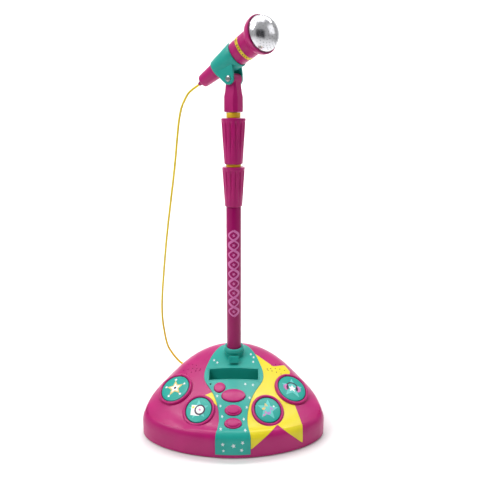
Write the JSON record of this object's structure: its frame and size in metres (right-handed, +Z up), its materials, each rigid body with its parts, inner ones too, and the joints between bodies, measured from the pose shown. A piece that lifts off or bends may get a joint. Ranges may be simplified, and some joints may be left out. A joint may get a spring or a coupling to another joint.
{
  "type": "toy microphone",
  "caption": "Toy stand microphone: a removable handheld microphone in a tilting clip on a telescoping pole, over a domed base with sound pads, buttons and a phone slot.",
  "frame": {"origin": "on the floor, under the middle of the base", "axes": "+Z up along the pole, -Y towards the player in front, +X to the player's right"},
  "size_m": [0.2992, 0.2985, 0.6741],
  "materials": {
    "magenta_plastic": "semi-gloss moulded",
    "dark_magenta_plastic": "semi-gloss moulded",
    "teal_plastic": "semi-gloss moulded",
    "yellow_plastic": "semi-gloss moulded",
    "gold_trim": "bright, vacuum plated",
    "silver_grille": "bright, vacuum plated",
    "black_plastic": "matt",
    "cord_yellow": "soft satin",
    "switch_rubber": "matt",
    "foot_rubber": "matt",
    "board_green": "satin",
    "screw_steel": "plated",
    "battery_metal": "printed sleeve"
  },
  "bodies": {
    "base": {"base_shell": "magenta_plastic", "control_panel": "teal_plastic", "phone_tray": "teal_plastic", "status_light": "black_plastic", "bottom_cover": "dark_magenta_plastic", "battery_door": "dark_magenta_plastic", "stand_socket": "teal_plastic", "lower_tube": "dark_magenta_plastic", "cord_drop": "cord_yellow", "cord_coil": "cord_yellow", "cord_lead": "cord_yellow", "cord_gland": "dark_magenta_plastic", "circuit_board": "board_green", "key_board": "board_green", "speaker_left": "black_plastic", "speaker_right": "black_plastic", "power_button_dome": "switch_rubber", "main_button_dome": "switch_rubber", "upper_oval_button_dome": "switch_rubber", "lower_oval_button_dome": "switch_rubber", "pad_upper_left_dome": "switch_rubber", "pad_upper_right_dome": "switch_rubber", "pad_lower_left_dome": "switch_rubber", "pad_lower_right_dome": "switch_rubber", "case_screw_1": "screw_steel", "case_screw_2": "screw_steel", "case_screw_3": "screw_steel", "case_screw_4": "screw_steel", "foot_front_left": "foot_rubber", "foot_front_right": "foot_rubber", "foot_rear_left": "foot_rubber", "foot_rear_right": "foot_rubber", "battery_1": "battery_metal", "battery_2": "battery_metal", "battery_3": "battery_metal"},
    "power_button": {"power_button": "teal_plastic"},
    "main_button": {"main_button": "teal_plastic"},
    "upper_oval_button": {"upper_oval_button": "teal_plastic"},
    "lower_oval_button": {"lower_oval_button": "teal_plastic"},
    "pad_upper_left": {"pad_upper_left": "teal_plastic"},
    "pad_upper_right": {"pad_upper_right": "teal_plastic"},
    "pad_lower_left": {"pad_lower_left": "teal_plastic"},
    "pad_lower_right": {"pad_lower_right": "teal_plastic"},
    "socket_latch": {"socket_latch": "teal_plastic"},
    "lower_collar": {"lower_collar": "magenta_plastic", "lower_collar_ring": "yellow_plastic"},
    "middle_tube": {"middle_tube": "dark_magenta_plastic"},
    "upper_collar": {"upper_collar": "magenta_plastic", "upper_collar_ring": "yellow_plastic"},
    "upper_tube": {"upper_tube": "dark_magenta_plastic"},
    "neck": {"neck": "magenta_plastic"},
    "clip": {"clip_sleeve": "teal_plastic", "hinge_bolt": "screw_steel", "hinge_nut": "screw_steel"},
    "microphone": {"mic_handle": "magenta_plastic", "mic_band": "gold_trim", "mic_head_cup": "magenta_plastic", "mic_grille": "silver_grille", "mic_capsule": "black_plastic", "mic_cord_boot": "dark_magenta_plastic"}
  },
  "joints": [
    {"name": "power_button_press", "type": "slide", "parent": "base", "child": "power_button", "axis": [0.0535, 0.3106, -0.949], "range_m": [0, 0.0015], "stiffness_N_per_m": 500},
    {"name": "main_button_press", "type": "slide", "parent": "base", "child": "main_button", "axis": [0, 0.321, -0.9471], "range_m": [0, 0.0015], "stiffness_N_per_m": 500},
    {"name": "upper_oval_button_press", "type": "slide", "parent": "base", "child": "upper_oval_button", "axis": [0, 0.4224, -0.9064], "range_m": [0, 0.0015], "stiffness_N_per_m": 500},
    {"name": "lower_oval_button_press", "type": "slide", "parent": "base", "child": "lower_oval_button", "axis": [0, 0.3296, -0.9441], "range_m": [0, 0.0015], "stiffness_N_per_m": 500},
    {"name": "pad_upper_left_press", "type": "slide", "parent": "base", "child": "pad_upper_left", "axis": [0.2618, 0.296, -0.9186], "range_m": [0, 0.002], "stiffness_N_per_m": 600},
    {"name": "pad_upper_right_press", "type": "slide", "parent": "base", "child": "pad_upper_right", "axis": [-0.2618, 0.296, -0.9186], "range_m": [0, 0.002], "stiffness_N_per_m": 600},
    {"name": "pad_lower_left_press", "type": "slide", "parent": "base", "child": "pad_lower_left", "axis": [0.1297, 0.4006, -0.907], "range_m": [0, 0.002], "stiffness_N_per_m": 600},
    {"name": "pad_lower_right_press", "type": "slide", "parent": "base", "child": "pad_lower_right", "axis": [-0.1297, 0.4006, -0.907], "range_m": [0, 0.002], "stiffness_N_per_m": 600},
    {"name": "socket_latch_press", "type": "slide", "parent": "base", "child": "socket_latch", "axis": [0, 1, 0], "range_m": [0, 0.001], "stiffness_N_per_m": 800},
    {"name": "lower_collar_twist", "type": "hinge", "parent": "base", "child": "lower_collar", "pos_m": [0, 0.036, 0.4], "axis": [0, 0, 1], "range_deg": [0, 90]},
    {"name": "middle_tube_slide", "type": "slide", "parent": "base", "child": "middle_tube", "axis": [0, 0, 1], "range_m": [0, 0.17], "deforming": ["cord_drop"]},
    {"name": "upper_collar_twist", "type": "hinge", "parent": "middle_tube", "child": "upper_collar", "pos_m": [0, 0.036, 0.48], "axis": [0, 0, 1], "range_deg": [0, 90]},
    {"name": "upper_tube_slide", "type": "slide", "parent": "middle_tube", "child": "upper_tube", "axis": [0, 0, 1], "range_m": [0, 0.15], "deforming": ["cord_drop"]},
    {"name": "neck_swivel", "type": "hinge", "parent": "upper_tube", "child": "neck", "pos_m": [0, 0.036, 0.54], "axis": [0, 0, 1], "range_deg": [-90, 90], "deforming": ["cord_drop"]},
    {"name": "clip_tilt", "type": "hinge", "parent": "neck", "child": "clip", "pos_m": [0, 0.036, 0.579], "axis": [-0.5388, -0.8425, 0], "range_deg": [-35, 45], "deforming": ["cord_drop"]},
    {"name": "microphone_lift_out", "type": "slide", "parent": "clip", "child": "microphone", "axis": [0.7311, -0.4675, 0.497], "range_m": [0, 0.11], "deforming": ["cord_drop"]}
  ]
}
